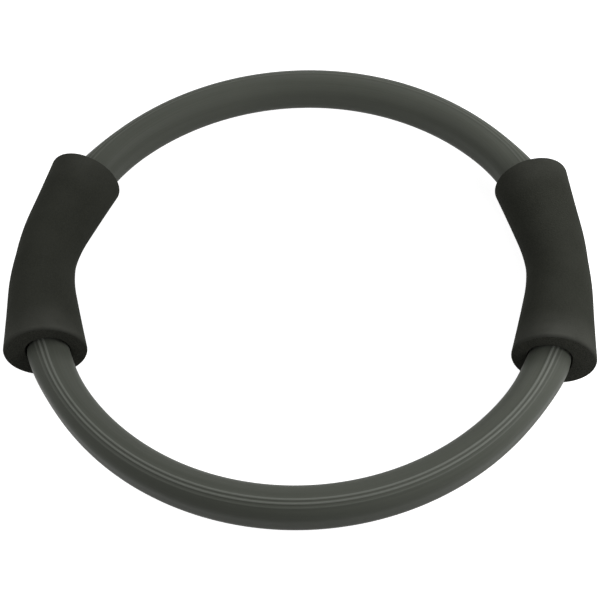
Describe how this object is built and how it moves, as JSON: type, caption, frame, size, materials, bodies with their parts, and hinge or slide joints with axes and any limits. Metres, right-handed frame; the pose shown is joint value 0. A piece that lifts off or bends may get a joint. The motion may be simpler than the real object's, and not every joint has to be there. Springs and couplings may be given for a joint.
{
  "type": "pilates ring",
  "caption": "Sprung exercise ring in a ribbed rubber cover with a waisted foam grip on each side, squeezed between the hands or legs.",
  "frame": {"origin": "on the floor under the ring's centre, at the level of the flats that the grips stand on", "axes": "+Z along the ring's axis, upwards; the grips lie on X, left at -X and right at +X; +Y to the rear"},
  "size_m": [0.3758, 0.3614, 0.0508],
  "materials": {
    "cover": "satin",
    "leaf": "satin",
    "plate": "satin",
    "rivet": "satin",
    "tape": "satin",
    "foam": "matte"
  },
  "bodies": {
    "hoop": {"front_cover": "cover", "rear_cover": "cover", "front_outer_leaf": "leaf", "front_inner_leaf": "leaf", "rear_outer_leaf": "leaf", "rear_inner_leaf": "leaf"},
    "left_handle": {"left_grip": "foam", "left_joint_band": "tape", "left_outer_splice_plate": "plate", "left_inner_splice_plate": "plate", "left_splice_rivets": "rivet"},
    "right_handle": {"right_grip": "foam", "right_joint_band": "tape", "right_outer_splice_plate": "plate", "right_inner_splice_plate": "plate", "right_splice_rivets": "rivet"}
  },
  "joints": [
    {"name": "left_squeeze", "type": "slide", "parent": "hoop", "child": "left_handle", "axis": [1, 0, 0], "range_m": [0, 0.03], "stiffness_N_per_m": 4000, "deforming": ["front_cover", "rear_cover", "front_outer_leaf", "front_inner_leaf", "rear_outer_leaf", "rear_inner_leaf"]},
    {"name": "right_squeeze", "type": "slide", "parent": "hoop", "child": "right_handle", "axis": [-1, 0, 0], "range_m": [0, 0.03], "stiffness_N_per_m": 4000, "deforming": ["front_cover", "rear_cover", "front_outer_leaf", "front_inner_leaf", "rear_outer_leaf", "rear_inner_leaf"]}
  ],
  "couplings": [
    {"joint": "right_squeeze", "follows": "left_squeeze", "ratio": 1}
  ]
}
